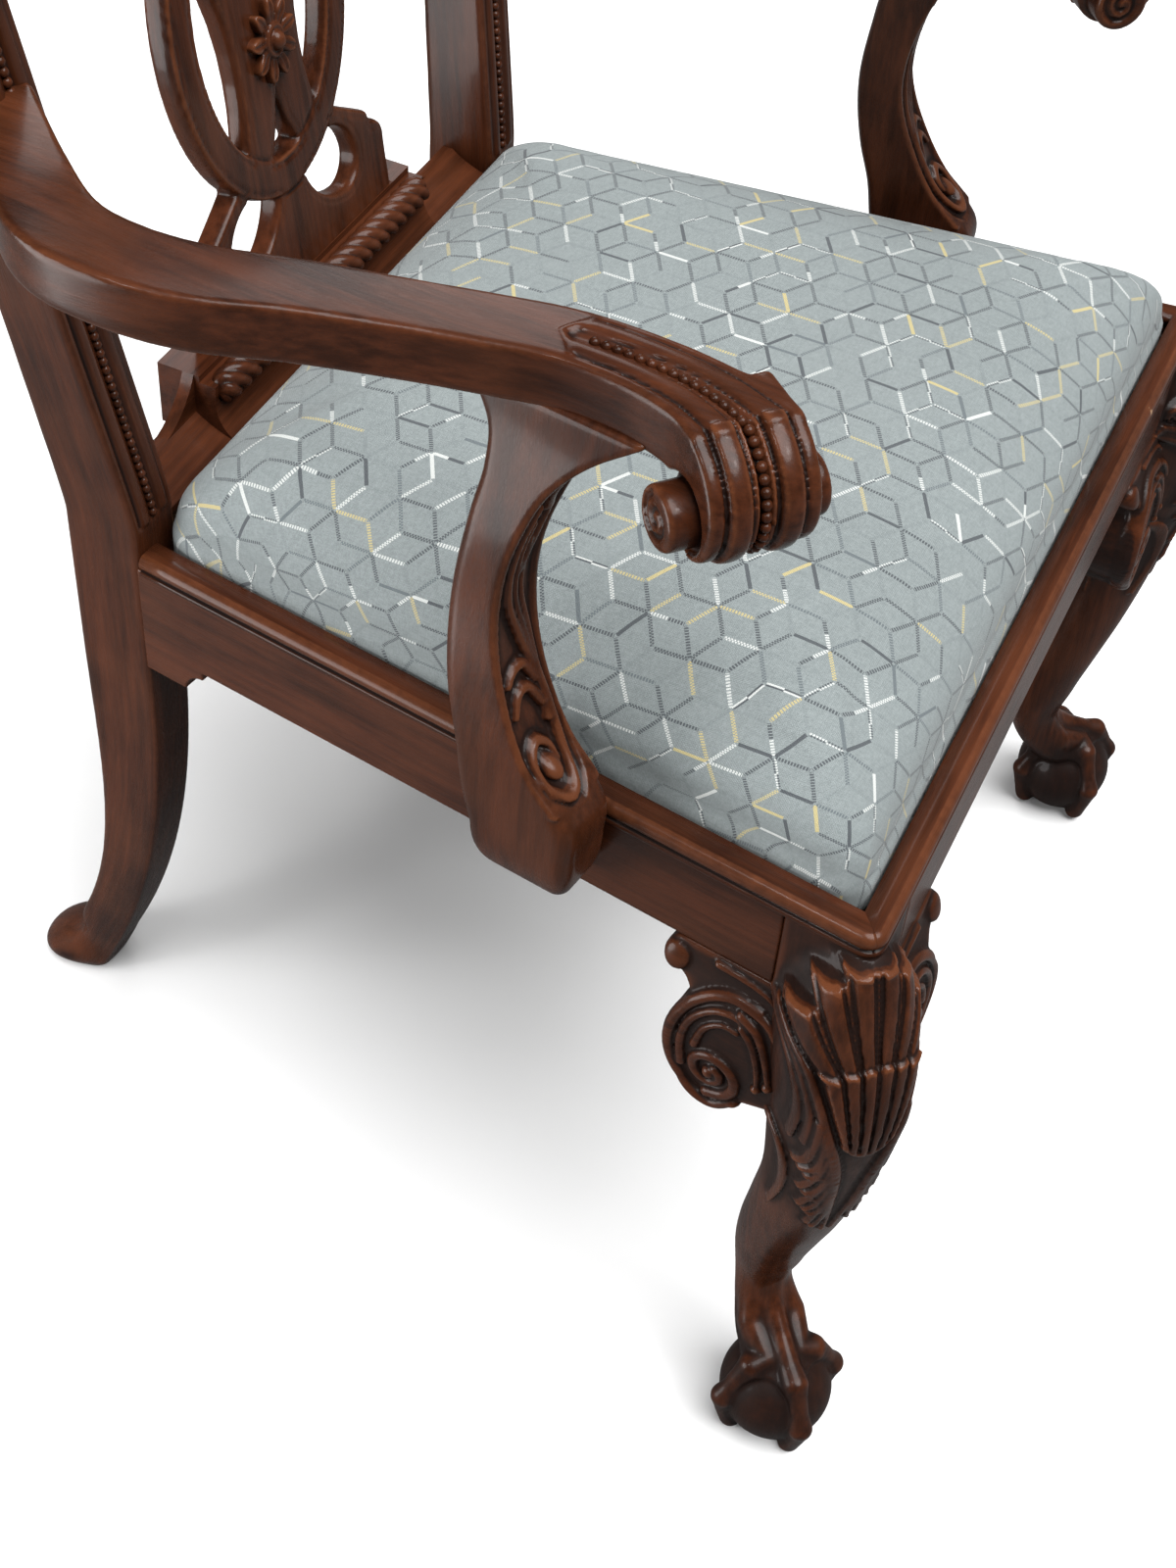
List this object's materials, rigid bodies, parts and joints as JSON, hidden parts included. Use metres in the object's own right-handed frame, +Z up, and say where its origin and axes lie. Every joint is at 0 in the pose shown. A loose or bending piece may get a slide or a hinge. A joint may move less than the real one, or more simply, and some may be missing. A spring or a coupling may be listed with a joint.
{
  "type": "carved armchair",
  "caption": "Carved wooden armchair with cabriole front legs on ball-and-claw feet, a pierced splat, scrolled arms and a lift-out upholstered seat.",
  "frame": {"origin": "on the floor under the middle of the chair's box", "axes": "+X to the sitter's left, -Y the way the chair faces, +Z up"},
  "size_m": [0.6374, 0.6098, 1.0057],
  "materials": {
    "carved_wood": "polished dark red-brown wood with worn edges",
    "seat_frame_wood": "sawn pale wood",
    "block_wood": "planed unpolished wood",
    "seat_fabric": "grey-blue woven fabric with a line pattern",
    "pad_filling": "felted filling",
    "webbing": "woven jute",
    "bottom_cloth": "thin black cloth"
  },
  "bodies": {
    "frame": {"arm_left": "carved_wood", "arm_right": "carved_wood", "arm_support_left": "carved_wood", "arm_support_right": "carved_wood", "back_rail": "carved_wood", "crest_rail": "carved_wood", "front_corner_block_left": "block_wood", "front_corner_block_right": "block_wood", "front_leg_left": "carved_wood", "front_leg_right": "carved_wood", "front_rail": "carved_wood", "knee_bracket_front_left": "carved_wood", "knee_bracket_front_right": "carved_wood", "knee_bracket_side_left": "carved_wood", "knee_bracket_side_right": "carved_wood", "rear_corner_block_left": "block_wood", "rear_corner_block_right": "block_wood", "rear_post_left": "carved_wood", "rear_post_right": "carved_wood", "seat_rim_front": "carved_wood", "seat_rim_left": "carved_wood", "seat_rim_right": "carved_wood", "shoe_gadroon": "carved_wood", "side_rail_left": "carved_wood", "side_rail_right": "carved_wood", "splat": "carved_wood", "splat_rosette": "carved_wood", "splat_shoe": "carved_wood"},
    "drop_in_seat": {"seat_bottom_cloth": "bottom_cloth", "seat_cover": "seat_fabric", "seat_frame_back": "seat_frame_wood", "seat_frame_front": "seat_frame_wood", "seat_frame_left": "seat_frame_wood", "seat_frame_right": "seat_frame_wood", "seat_pad": "pad_filling", "seat_webbing": "webbing"}
  },
  "joints": [
    {"name": "seat_lift", "type": "slide", "parent": "frame", "child": "drop_in_seat", "axis": [0, 0, 1], "range_m": [0, 0.1]}
  ]
}
